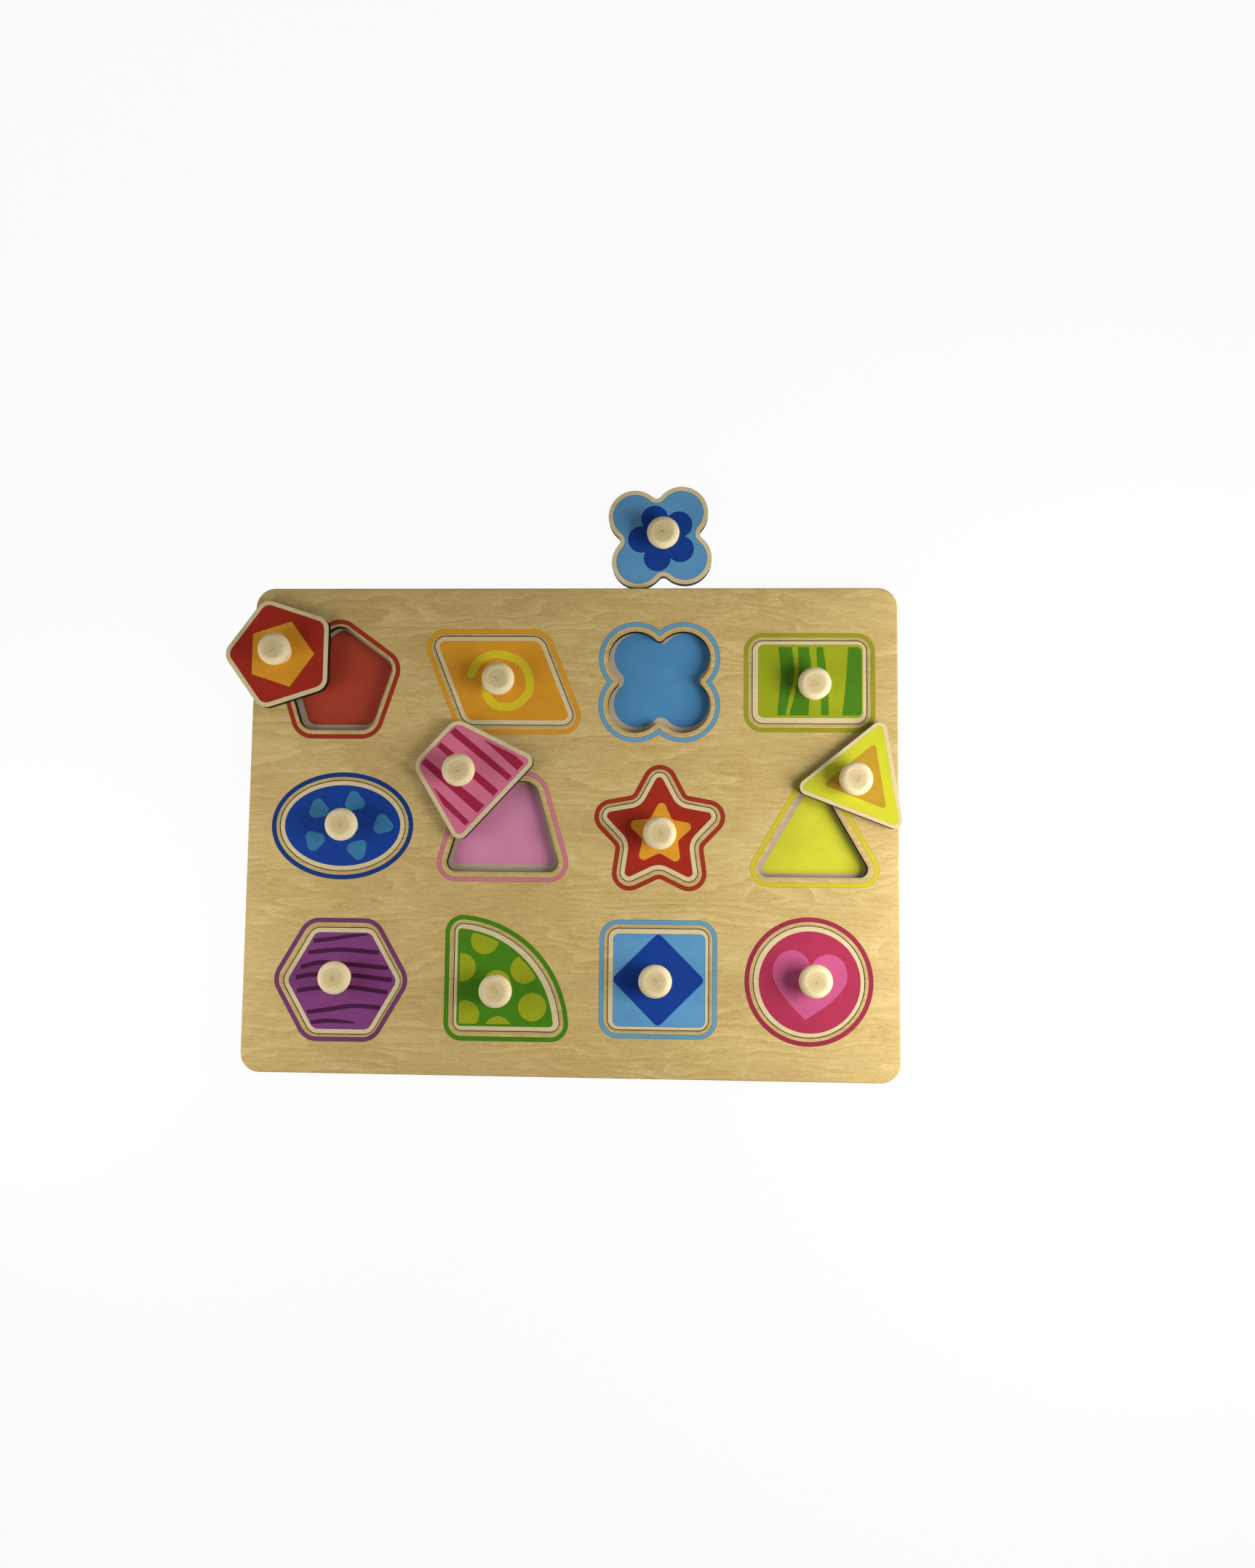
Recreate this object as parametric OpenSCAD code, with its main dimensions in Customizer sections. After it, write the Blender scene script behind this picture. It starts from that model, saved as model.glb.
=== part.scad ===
// Wooden peg puzzle: a board of two glued layers with shaped recesses, and for each recess a
// printed tile with a turned peg to hold it by. The pentagon, trapezoid and triangle tiles lie
// on the board, the flower tile lies behind it, and the other tiles sit in their recesses.
// Millimetres. +Z is up, and the origin is the middle of the board's underside.

/* [Board] */
// Length of the board, along X
board_l = 400; // [385:1:440]
// Width of the board, along Y
board_w = 300; // [285:1:340]
// Radius of the board's corners in plan
board_corner_r = 12; // [2:0.5:18]
// Thickness of the upper layer, which the recesses are cut through
frame_t = 6; // [4:0.1:10]
// Thickness of the lower layer, which closes the recesses
backing_t = 3; // [2:0.1:6]

/* [Layout] */
// Distance of the outer columns of recesses from the ends of the board
column_inset = 55; // [50:0.5:60]
// Distance of the outer rows of recesses from the long sides of the board
row_inset = 59; // [55:0.5:65]

/* [Tiles] */
// Thickness of a tile
tile_t = 5.8; // [4:0.1:10]
// Gap between the edge of a tile and the wall of its recess
tile_gap = 0.6; // [0.3:0.05:1.2]

/* [Pegs] */
// Diameter of the head where it is widest
peg_head_d = 20; // [17:0.1:24]
// Height of a peg above its tile
peg_h = 14; // [12:0.1:20]
// Height of the rounded crown, from the widest place to the flat top
peg_crown_h = 3.2; // [1.5:0.1:6]
// Diameter of the flat on top
peg_flat_d = 12.6; // [8:0.1:16]
// Diameter of the foot that stands on the tile
peg_foot_d = 14.8; // [11:0.1:16.5]
// Diameter of the spigot that is glued into the tile
peg_spigot_d = 8; // [5:0.1:10]
// Gap round the spigot, for glue
peg_spigot_gap = 0.1; // [0.05:0.05:0.3]
// Gap under the spigot, for glue
peg_glue_gap = 0.3; // [0.1:0.05:0.8]
// Wood left in the tile under the spigot's hole
peg_hole_floor = 1.4; // [0.8:0.1:2.5]

/* [Pentagon tile] */
// Distance from the middle to a corner before rounding
pentagon_r = 36.7; // [30:0.1:38]
// Radius of the corners
pentagon_corner_r = 8.5; // [2:0.1:12]
// Shift of the recess from its place in the rows
pentagon_shift = [-1, -0.4]; // [-15:0.1:15]
// Place of the peg from the middle of the tile
pentagon_peg_at = [1, 0.5]; // [-6:0.1:6]
// Distance of the loose tile from its recess
pentagon_lies_off = [-35.3, 16.7]; // [-45:0.1:45]
// Turn of the loose tile, in degrees
pentagon_turn = 90; // [60:1:120]

/* [Parallelogram tile] */
// Length of the two level sides before rounding
parallelogram_l = 69.8; // [60:0.1:72]
// Distance between the level sides
parallelogram_h = 55; // [45:0.1:57]
// Shift of the lower side to the right of the upper one
parallelogram_skew = 22.2; // [10:0.1:25]
// Radius of the sharp corners
parallelogram_sharp_r = 6; // [2:0.1:9]
// Radius of the blunt corners
parallelogram_blunt_r = 9; // [2:0.1:14]
// Shift of the recess from its place in the rows
parallelogram_shift = [5.9, 0.8]; // [-15:0.1:15]
// Place of the peg from the middle of the tile
parallelogram_peg_at = [-1.7, -0.6]; // [-6:0.1:6]

/* [Flower tile] */
// Radius of a lobe
flower_lobe_r = 16.5; // [15.5:0.1:17.5]
// Distance of a lobe's middle from the axes of the flower
flower_lobe_out = 14.6; // [12:0.1:15.2]
// Radius of the notch between two lobes
flower_notch_r = 3.6; // [2:0.1:8]
// Shift of the recess from its place in the rows
flower_shift = [5.9, 0.1]; // [-15:0.1:15]
// Place of the peg from the middle of the tile
flower_peg_at = [2.2, -0.3]; // [-6:0.1:6]
// Distance of the loose tile from its recess, along the board
flower_lies_along = -0.4; // [-100:0.1:100]
// Gap between the loose tile and the far edge of the board
flower_lies_gap = 0.8; // [0.3:0.1:3]
// Turn of the loose tile, in degrees
flower_turn = 4.7; // [0:0.1:40]

/* [Rectangle tile] */
// Length of the tile, along X
rectangle_l = 69.2; // [60:0.1:74]
// Width of the tile, along Y
rectangle_w = 50.8; // [40:0.1:56]
// Radius of the corners
rectangle_corner_r = 6.2; // [2:0.1:12]
// Shift of the recess from its place in the rows
rectangle_shift = [1.1, 0.3]; // [-15:0.1:15]
// Place of the peg from the middle of the tile
rectangle_peg_at = [2.2, -2.6]; // [-6:0.1:6]

/* [Ellipse tile] */
// Length of the tile, along X
ellipse_l = 77.6; // [66:0.1:80]
// Width of the tile, along Y
ellipse_w = 55.4; // [46:0.1:60]
// Shift of the recess from its place in the rows
ellipse_shift = [4.2, 1]; // [-15:0.1:15]
// Place of the peg from the middle of the tile
ellipse_peg_at = [2.2, 0.2]; // [-6:0.1:6]

/* [Trapezoid tile] */
// Length of the long side before rounding
trapezoid_l = 71.6; // [62:0.1:74]
// Length of the short side before rounding
trapezoid_top_l = 39.2; // [34:0.1:44]
// Distance between the long and the short side
trapezoid_h = 54.8; // [46:0.1:57]
// Radius of the two corners of the long side
trapezoid_sharp_r = 5.4; // [2:0.1:9]
// Radius of the two corners of the short side
trapezoid_blunt_r = 9; // [2:0.1:12]
// Shift of the recess from its place in the rows
trapezoid_shift = [7.4, 1.3]; // [-15:0.1:15]
// Place of the peg from the middle of the tile
trapezoid_peg_at = [-2, 1.7]; // [-6:0.1:6]
// Distance of the loose tile from its recess
trapezoid_lies_off = [-22.7, 33.4]; // [-45:0.1:45]
// Turn of the loose tile, in degrees
trapezoid_turn = 47.4; // [35:0.1:60]

/* [Star tile] */
// Distance from the middle to a tip before rounding
star_r = 42; // [36:0.1:43]
// Distance from the middle to an inner corner before rounding
star_inner_r = 22; // [18:0.1:24]
// Radius of the tips
star_tip_r = 5.3; // [2:0.1:6.5]
// Radius of the inner corners
star_inner_corner_r = 9.5; // [3:0.1:12]
// Shift of the recess from its place in the rows
star_shift = [6.5, -1.2]; // [-15:0.1:15]
// Place of the peg from the middle of the tile
star_peg_at = [0.7, -1.3]; // [-6:0.1:6]

/* [Triangle tile] */
// Distance from the middle to a corner before rounding
triangle_r = 41.5; // [36:0.1:43]
// Radius of the corners
triangle_corner_r = 4.7; // [2:0.1:8]
// Shift of the recess from its place in the rows
triangle_shift = [3.1, -6.8]; // [-15:0.1:15]
// Place of the peg from the middle of the tile
triangle_peg_at = [-3.5, -2.1]; // [-6:0.1:6]
// Distance of the loose tile from its recess
triangle_lies_off = [27.9, 38.1]; // [-45:0.1:45]
// Turn of the loose tile, in degrees
triangle_turn = -21; // [-30:1:-10]

/* [Hexagon tile] */
// Distance from the middle to a corner before rounding
hexagon_r = 37; // [31:0.1:39]
// Radius of the corners
hexagon_corner_r = 8; // [2:0.1:12]
// Shift of the recess from its place in the rows
hexagon_shift = [6.7, -3]; // [-15:0.1:15]
// Place of the peg from the middle of the tile
hexagon_peg_at = [-1.8, 2.6]; // [-6:0.1:6]

/* [Quarter disc tile] */
// Radius of the round side
quarter_r = 64.4; // [56:0.1:67]
// Radius of the three corners
quarter_corner_r = 5; // [2:0.1:9]
// Shift of the recess from its place in the rows
quarter_shift = [11.5, 0.5]; // [-15:0.1:15]
// Place of the peg from the middle of the tile
quarter_peg_at = [-5.3, -7.5]; // [-9:0.1:9]

/* [Square tile] */
// Length of a side
square_l = 60.4; // [50:0.1:64]
// Radius of the corners
square_corner_r = 6; // [2:0.1:12]
// Shift of the recess from its place in the rows
square_shift = [6.6, 0.6]; // [-15:0.1:15]
// Place of the peg from the middle of the tile
square_peg_at = [-1.4, -0.5]; // [-6:0.1:6]

/* [Circle tile] */
// Diameter of the tile
circle_d = 66.2; // [56:0.1:70]
// Shift of the recess from its place in the rows
circle_shift = [0.5, 0.4]; // [-15:0.1:15]
// Place of the peg from the middle of the tile
circle_peg_at = [3.1, 1.2]; // [-6:0.1:6]

/* [Hidden] */

// Longest straight stretch, and largest turn in degrees, that stand for a part of a curve
curve_step = 2.5;
curve_turn = 9;
// Distance that a cut runs past the face it breaks through
cut_past = 1;
// Steps in each curve of a peg's profile
peg_steps = 8;
// Sides of a true round
round_sides = 96;

board_t = backing_t + frame_t;
peg_hole_depth = tile_t - peg_hole_floor;
peg_hole_d = peg_spigot_d + 2 * peg_spigot_gap;
peg_spigot_l = peg_hole_depth - peg_glue_gap;
peg_wide_h = peg_h - peg_crown_h;

// Recesses stand in columns and rows, counted from the far left corner
columns = 4;
rows = 3;
column_pitch = (board_l - 2 * column_inset) / (columns - 1);
row_pitch = (board_w - 2 * row_inset) / (rows - 1);
function slot(column, row) =
    [column_inset - board_l / 2 + column * column_pitch, board_w / 2 - row_inset - row * row_pitch];

// The flower's lobes stand on its diagonals, and the lowest one sets how near it lies to the board
flower_diagonal = flower_lobe_out * sqrt(2);
flower_reach = flower_lobe_r + flower_diagonal * sin(45 + flower_turn);
flower_slot = slot(2, 0) + flower_shift;
flower_lies_y = board_w / 2 + flower_lies_gap + flower_reach;
flower_lies_off = [flower_lies_along, flower_lies_y - flower_slot.y];

// Each shape's recess, its peg on the tile, and the distance, height and turn of the tile there
seated = [0, 0];
table_z = 0;
PIECES = [
    ["pentagon", slot(0, 0) + pentagon_shift, pentagon_peg_at, pentagon_lies_off, board_t, pentagon_turn],
    ["parallelogram", slot(1, 0) + parallelogram_shift, parallelogram_peg_at, seated, backing_t, 0],
    ["flower", flower_slot, flower_peg_at, flower_lies_off, table_z, flower_turn],
    ["rectangle", slot(3, 0) + rectangle_shift, rectangle_peg_at, seated, backing_t, 0],
    ["ellipse", slot(0, 1) + ellipse_shift, ellipse_peg_at, seated, backing_t, 0],
    [
        "trapezoid", slot(1, 1) + trapezoid_shift, trapezoid_peg_at,
        trapezoid_lies_off, board_t, trapezoid_turn
    ],
    ["star", slot(2, 1) + star_shift, star_peg_at, seated, backing_t, 0],
    ["triangle", slot(3, 1) + triangle_shift, triangle_peg_at, triangle_lies_off, board_t, triangle_turn],
    ["hexagon", slot(0, 2) + hexagon_shift, hexagon_peg_at, seated, backing_t, 0],
    ["quarter", slot(1, 2) + quarter_shift, quarter_peg_at, seated, backing_t, 0],
    ["square", slot(2, 2) + square_shift, square_peg_at, seated, backing_t, 0],
    ["circle", slot(3, 2) + circle_shift, circle_peg_at, seated, backing_t, 0]
];

function piece(shape) = [for (p = PIECES) if (p[0] == shape) p][0];
function recess_at(shape) = piece(shape)[1];
function peg_at(shape) = piece(shape)[2];
function tile_at(shape) = [each piece(shape)[1] + piece(shape)[3], piece(shape)[4]];
function tile_turn(shape) = piece(shape)[5];

// A point at a radius and an angle, and a vector turned a quarter to the left
function polar(r, a) = r * [cos(a), sin(a)];
function left_of(v) = [-v.y, v.x];
function direction(a, b) = (b - a) / norm(b - a);

// An arc is its centre, radius, first angle and sweep. A hollow arc has a negative sweep.
function corner_arc(before, corner, after, r) =
    let (
        n1 = left_of(direction(before, corner)),
        n2 = left_of(direction(corner, after)),
        turn = atan2(n1.x * n2.y - n1.y * n2.x, n1 * n2),
        inward = sign(turn)
    )
    [corner + inward * r * (n1 + n2) / (1 + n1 * n2), r, atan2(-inward * n1.y, -inward * n1.x), turn];

// Arcs that round the corners of a polygon, which runs anticlockwise
function rounded(corners, radii) =
    let (n = len(corners))
    [for (i = [0 : n - 1])
        corner_arc(corners[(i + n - 1) % n], corners[i], corners[(i + 1) % n], radii[i])];

// Points along an arc that is moved outwards from its shape by grow
function arc_points(arc, grow) =
    let (
        r = arc[1] + sign(arc[3]) * grow,
        turn = min(curve_turn, curve_step / r * 180 / PI),
        steps = ceil(abs(arc[3]) / turn)
    )
    [for (k = [0 : steps]) arc[0] + polar(r, arc[2] + arc[3] * k / steps)];
function outline(arcs, grow) = [for (arc = arcs) each arc_points(arc, grow)];

function same(value, count) = [for (i = [1 : count]) value];
function regular(sides, r, first) = [for (i = [0 : sides - 1]) polar(r, first + 360 * i / sides)];
function box(l, w) = [[-l, -w] / 2, [l, -w] / 2, [l, w] / 2, [-l, w] / 2];

function pentagon_arcs() = rounded(regular(5, pentagon_r, 90), same(pentagon_corner_r, 5));
function parallelogram_arcs() =
    let (lean = [parallelogram_skew, 0] / 2, b = box(parallelogram_l, parallelogram_h))
    rounded(
        [b[0] + lean, b[1] + lean, b[2] - lean, b[3] - lean],
        [parallelogram_blunt_r, parallelogram_sharp_r, parallelogram_blunt_r, parallelogram_sharp_r]
    );
function rectangle_arcs() = rounded(box(rectangle_l, rectangle_w), same(rectangle_corner_r, 4));
function trapezoid_arcs() =
    let (long = box(trapezoid_l, trapezoid_h), short = box(trapezoid_top_l, trapezoid_h))
    rounded(
        [long[0], long[1], short[2], short[3]],
        [trapezoid_sharp_r, trapezoid_sharp_r, trapezoid_blunt_r, trapezoid_blunt_r]
    );
function star_arcs() = rounded(
    [for (i = [0 : 4]) each [polar(star_r, 90 + 72 * i), polar(star_inner_r, 126 + 72 * i)]],
    [for (i = [0 : 4]) each [star_tip_r, star_inner_corner_r]]
);
function triangle_arcs() = rounded(regular(3, triangle_r, 90), same(triangle_corner_r, 3));
function hexagon_arcs() = rounded(regular(6, hexagon_r, 0), same(hexagon_corner_r, 6));
function square_arcs() = rounded(box(square_l, square_l), same(square_corner_r, 4));

// Four lobes, and between them notches that touch both neighbours
function flower_arcs() =
    let (
        out = flower_lobe_out,
        notch_out = out + sqrt(pow(flower_lobe_r + flower_notch_r, 2) - out * out),
        first = atan2(-out, notch_out - out),
        last = 90 - first,
        hollow = atan2(notch_out - out, out)
    )
    [for (i = [0 : 3]) each [
        [polar(flower_diagonal, 45 + 90 * i), flower_lobe_r, first + 90 * i, last - first],
        [polar(notch_out, 90 + 90 * i), flower_notch_r, 90 * i - hollow, 2 * hollow - 180]
    ]];

// A quarter disc about its square corner, moved so that its box is centred, with three round corners
function quarter_arcs() =
    let (
        r = quarter_corner_r,
        far = sqrt(pow(quarter_r - r, 2) - r * r),
        lift = atan2(r, far),
        corner = -[quarter_r, quarter_r] / 2
    )
    [
        [corner + [r, r], r, 180, 90],
        [corner + [far, r], r, -90, 90 + lift],
        [corner, quarter_r, lift, 90 - 2 * lift],
        [corner + [r, far], r, 90 - lift, 90 + lift]
    ];

// An ellipse moved outwards along its normals
function ellipse_points(grow) =
    let (a = ellipse_l / 2, b = ellipse_w / 2, steps = ceil(PI * (a + b) / curve_step))
    [for (i = [0 : steps - 1])
        let (t = 360 * i / steps, normal = [b * cos(t), a * sin(t)])
        [a * cos(t), b * sin(t)] + grow * normal / norm(normal)];

function shape_arcs(shape) =
    shape == "pentagon" ? pentagon_arcs() :
    shape == "parallelogram" ? parallelogram_arcs() :
    shape == "flower" ? flower_arcs() :
    shape == "rectangle" ? rectangle_arcs() :
    shape == "trapezoid" ? trapezoid_arcs() :
    shape == "star" ? star_arcs() :
    shape == "triangle" ? triangle_arcs() :
    shape == "hexagon" ? hexagon_arcs() :
    shape == "quarter" ? quarter_arcs() :
    square_arcs();

// A shape's solid, grown by grow all round: a true cylinder for the circle, a prism for the others
module shape_solid(shape, h, grow) {
    if (shape == "circle")
        cylinder(d = circle_d + 2 * grow, h = h, $fn = round_sides);
    else if (shape == "ellipse")
        linear_extrude(h) polygon(ellipse_points(grow));
    else
        linear_extrude(h) polygon(outline(shape_arcs(shape), grow));
}

module board_slab(t) {
    arcs = rounded(box(board_l, board_w), same(board_corner_r, 4));
    linear_extrude(t) polygon(outline(arcs, 0));
}

// Carries what belongs to a tile to the place where the tile lies
module with_tile(shape) {
    translate(tile_at(shape)) rotate(tile_turn(shape)) children();
}

// A flat tile with the blind hole for its peg
module tile(shape) {
    with_tile(shape)
    difference() {
        shape_solid(shape, tile_t, 0);
        translate([each peg_at(shape), peg_hole_floor])
            cylinder(d = peg_hole_d, h = peg_hole_depth + cut_past, $fn = round_sides);
    }
}

// Half of a peg's section: spigot, foot, flared side, rounded crown and flat top
function peg_profile() =
    let (foot = peg_foot_d / 2, head = peg_head_d / 2, flat = peg_flat_d / 2)
    concat(
        [[0, -peg_spigot_l], [peg_spigot_d / 2, -peg_spigot_l], [peg_spigot_d / 2, 0]],
        [for (k = [0 : peg_steps])
            let (t = 90 * k / peg_steps)
            [foot + (head - foot) * sin(t), peg_wide_h * k / peg_steps]],
        [for (k = [1 : peg_steps])
            let (t = 90 * k / peg_steps)
            [flat + (head - flat) * cos(t), peg_wide_h + peg_crown_h * sin(t)]],
        [[0, peg_h]]
    );

module peg(shape) {
    with_tile(shape)
    translate([each peg_at(shape), tile_t])
        rotate_extrude($fn = round_sides) polygon(peg_profile());
}

module frame_panel() {
    color("burlywood")
    translate([0, 0, backing_t])
    difference() {
        board_slab(frame_t);
        for (p = PIECES)
            translate([each recess_at(p[0]), -cut_past])
                shape_solid(p[0], frame_t + 2 * cut_past, tile_gap);
    }
}
module backing_panel() { color("tan") board_slab(backing_t); }

module pentagon_tile() { color("firebrick") tile("pentagon"); }
module parallelogram_tile() { color("darkorange") tile("parallelogram"); }
module flower_tile() { color("steelblue") tile("flower"); }
module rectangle_tile() { color("yellowgreen") tile("rectangle"); }
module ellipse_tile() { color("midnightblue") tile("ellipse"); }
module trapezoid_tile() { color("palevioletred") tile("trapezoid"); }
module star_tile() { color("brown") tile("star"); }
module triangle_tile() { color("gold") tile("triangle"); }
module hexagon_tile() { color("indigo") tile("hexagon"); }
module quarter_tile() { color("forestgreen") tile("quarter"); }
module square_tile() { color("cornflowerblue") tile("square"); }
module circle_tile() { color("crimson") tile("circle"); }

module pentagon_peg() { color("wheat") peg("pentagon"); }
module parallelogram_peg() { color("wheat") peg("parallelogram"); }
module flower_peg() { color("wheat") peg("flower"); }
module rectangle_peg() { color("wheat") peg("rectangle"); }
module ellipse_peg() { color("wheat") peg("ellipse"); }
module trapezoid_peg() { color("wheat") peg("trapezoid"); }
module star_peg() { color("wheat") peg("star"); }
module triangle_peg() { color("wheat") peg("triangle"); }
module hexagon_peg() { color("wheat") peg("hexagon"); }
module quarter_peg() { color("wheat") peg("quarter"); }
module square_peg() { color("wheat") peg("square"); }
module circle_peg() { color("wheat") peg("circle"); }

frame_panel();
backing_panel();
pentagon_tile();
parallelogram_tile();
flower_tile();
rectangle_tile();
ellipse_tile();
trapezoid_tile();
star_tile();
triangle_tile();
hexagon_tile();
quarter_tile();
square_tile();
circle_tile();
pentagon_peg();
parallelogram_peg();
flower_peg();
rectangle_peg();
ellipse_peg();
trapezoid_peg();
star_peg();
triangle_peg();
hexagon_peg();
quarter_peg();
square_peg();
circle_peg();
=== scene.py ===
"""Looks of a wooden peg puzzle: veneered board, printed tiles and turned pegs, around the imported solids."""

import math

import bmesh
import bpy
import numpy as np
from mathutils import Matrix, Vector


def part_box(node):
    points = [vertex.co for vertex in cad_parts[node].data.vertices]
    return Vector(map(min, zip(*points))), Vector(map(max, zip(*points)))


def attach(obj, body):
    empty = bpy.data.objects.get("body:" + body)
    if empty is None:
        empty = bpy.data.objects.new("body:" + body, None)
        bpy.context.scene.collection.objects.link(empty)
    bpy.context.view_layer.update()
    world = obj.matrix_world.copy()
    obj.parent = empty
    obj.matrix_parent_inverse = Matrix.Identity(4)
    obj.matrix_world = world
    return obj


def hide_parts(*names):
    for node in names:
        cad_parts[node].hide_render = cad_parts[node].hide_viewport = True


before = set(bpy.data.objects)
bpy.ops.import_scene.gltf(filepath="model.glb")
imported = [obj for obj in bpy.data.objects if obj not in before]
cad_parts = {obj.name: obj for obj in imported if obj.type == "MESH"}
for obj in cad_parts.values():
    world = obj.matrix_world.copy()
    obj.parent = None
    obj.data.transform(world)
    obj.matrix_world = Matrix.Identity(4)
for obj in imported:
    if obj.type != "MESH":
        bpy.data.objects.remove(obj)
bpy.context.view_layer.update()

# Lengths below are in millimetres and angles in degrees
MM = 0.001
FULL_TURN = 2 * np.pi

# Board: corners and edges, the gap round a tile in the solids, how far the shown recess, the darker band
# round it and the shown tile grow past a shape's outline, the lines that part the board into cells, and a
# length that stands in for none in a division
BOARD_CORNER_R = 12.0
BOARD_EDGE_R = 1.1
RECESS_EDGE_R = 0.22
TILE_GAP = 0.6
RECESS_GROW = 0.48
NEAR_CUT_OUT = 3.0
TILE_GROW = 0.1
CELL_X = (-99.0, 11.0, 98.0)
CELL_Y = (44.5, -44.5)
LEAST_LENGTH = 0.001

# Flat strips beside a rounded edge: on recesses and tiles, under the backing and on top of it
EDGE_STRIP = 0.15
BACKING_LOW_STRIP = 0.2
BACKING_TOP_STRIP = 0.3

# Tiles and pegs. The points of a peg's top are radius and depth, down to a small dimple
TILE_EDGE_R = 0.28
TILE_LIFT = 0.06
PEG_FOOT_R = 7.4
PEG_HEAD_R = 10.0
PEG_FLAT_R = 6.7
PEG_CROWN_H = 3.2
PEG_CROWN_TURN = 72.0
PEG_NECK = 0.2
PEG_SIDE_STEPS = 22
PEG_CROWN_STEPS = 16
PEG_ROUND_STEPS = 96
PEG_TOP = ((6.4, 0.0), (4.5, -0.01), (2.4, -0.02), (1.0, -0.03), (0.5, -0.08), (0.2, -0.1))

# A coat of ink, how far its film reaches into the wood, and the coats that carry a motif
INK = 0.03
INK_ROOT = 0.08
MOTIF_COATS = 2

# Steps that stand for an arc, a straight stretch, a rounded edge, a full round, a span of a smooth path and
# a side of a board cell
ARC_STEPS = 18
LINE_STEPS = 8
EDGE_STEPS = 5
ROUND_STEPS = 160
PATH_STEPS = 12
CELL_SIDE_STEPS = 110

# How charred a rounded edge is at each step from its side to its top, and the mark on the strip beside a
# recess, which turns the wood there darker and greyer. How much of the plies the board's rounded edge
# shows, from its second step on
EDGE_CHAR = (1.0, 0.45, 0.22, 0.15, 0.1)
STRIP_CHAR = 0.2
RIM_PLY = (0.4, 0.2, 0.0, 0.0)

# Rings printed round the recesses, the print on the recess floors, and the fields on the tiles
RING_IN = 2.55
RING_OUT = 5.4
FLOOR_INSET = 2.2
FLOOR_SLIP = (1.2, 1.9)
FIELD_INSET = 2.7
RIM_LINE = 0.4

# Shapes: side lengths or the radius to the corners, and the radii of round corners
PENTAGON_R = 36.7
PENTAGON_ROUND = 8.5
PARALLELOGRAM_SIDES = (69.8, 55.0)
PARALLELOGRAM_LEAN = 11.1
PARALLELOGRAM_ROUND = (9, 6, 9, 6)
FLOWER_OUT = 14.6
FLOWER_LOBE_R = 16.5
FLOWER_NOTCH_R = 3.6
FLOWER_NOTCH_LEAST = 0.4
RECTANGLE_SIDES = (69.2, 50.8)
RECTANGLE_ROUND = 6.2
ELLIPSE_HALVES = (38.8, 27.7)
TRAPEZOID_LOW = 71.6
TRAPEZOID_TOP = 39.2
TRAPEZOID_H = 54.8
TRAPEZOID_ROUND = (5.4, 5.4, 9, 9)
STAR_TIP_R = 42.0
STAR_INNER_R = 22.0
STAR_ROUND = (5.3, 9.5)
TRIANGLE_R = 41.5
TRIANGLE_ROUND = 4.7
HEXAGON_R = 37.0
HEXAGON_ROUND = 8.0
QUARTER_SIDE = 64.4
QUARTER_ROUND = 5.0
SQUARE_SIDE = 60.4
SQUARE_ROUND = 6.0
CIRCLE_R = 33.1


def polar(radius, degrees):
    """Points at a radius and at angles in degrees."""
    a = np.radians(degrees)
    return np.stack([radius * np.cos(a), radius * np.sin(a)], -1)


def turned(points, degrees):
    """Points turned about the origin."""
    c, s = math.cos(math.radians(degrees)), math.sin(math.radians(degrees))
    return np.asarray(points, float) @ np.array([[c, s], [-s, c]])


def regular(sides, radius, first):
    """Corners of a regular polygon, the first one at an angle."""
    return polar(radius, first + 360 / sides * np.arange(sides))


def box(length, width):
    """Corners of a rectangle about the origin, anticlockwise from the lower left."""
    return np.array([[-length, -width], [length, -width], [length, width], [-length, width]]) / 2


def rounded(corners, radii):
    """Arcs (centre, radius, first angle, sweep in radians) that touch both sides at each corner of a
    polygon. The centre lies on the bisector of the inward normals before and after the corner, and a
    hollow corner gets a negative sweep."""
    corners = np.asarray(corners, float)
    radii = np.broadcast_to(np.asarray(radii, float), len(corners))
    into = corners - np.roll(corners, 1, 0)
    into /= np.linalg.norm(into, axis=1)[:, None]
    before = np.stack([-into[:, 1], into[:, 0]], -1)
    after = np.roll(before, -1, 0)
    dot = (before * after).sum(1)
    sweep = np.arctan2(before[:, 0] * after[:, 1] - before[:, 1] * after[:, 0], dot)
    side = np.sign(sweep)[:, None]
    centre = corners + side * radii[:, None] * (before + after) / (1 + dot)[:, None]
    first = np.arctan2(-side[:, 0] * before[:, 1], -side[:, 0] * before[:, 0])
    return np.column_stack([centre, radii, first, sweep])


def outline(arcs, grow=0.0):
    """Closed outline of arcs moved outwards by grow: each arc's own angles at radius plus or minus grow,
    then a straight stretch to the next arc."""
    arcs = np.asarray(arcs, float)
    radius = arcs[:, 2] + np.sign(arcs[:, 4]) * grow
    a = arcs[:, 3:4] + arcs[:, 4:5] * np.linspace(0, 1, ARC_STEPS)
    bend = arcs[:, None, :2] + radius[:, None, None] * np.stack([np.cos(a), np.sin(a)], -1)
    start, end = bend[:, -1:], np.roll(bend[:, :1], -1, 0)
    line = start + (end - start) * (np.arange(1, LINE_STEPS) / LINE_STEPS)[None, :, None]
    return np.concatenate([bend, line], 1).reshape(-1, 2)


def pentagon(grow):
    """A regular pentagon with round corners, one corner up."""
    return outline(rounded(regular(5, PENTAGON_R, 90), PENTAGON_ROUND), grow)


def parallelogram(grow):
    """A rectangle whose lower side is moved right and its upper side left."""
    lean = np.array([[1, 0], [1, 0], [-1, 0], [-1, 0]]) * PARALLELOGRAM_LEAN
    return outline(rounded(box(*PARALLELOGRAM_SIDES) + lean, PARALLELOGRAM_ROUND), grow)


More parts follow.
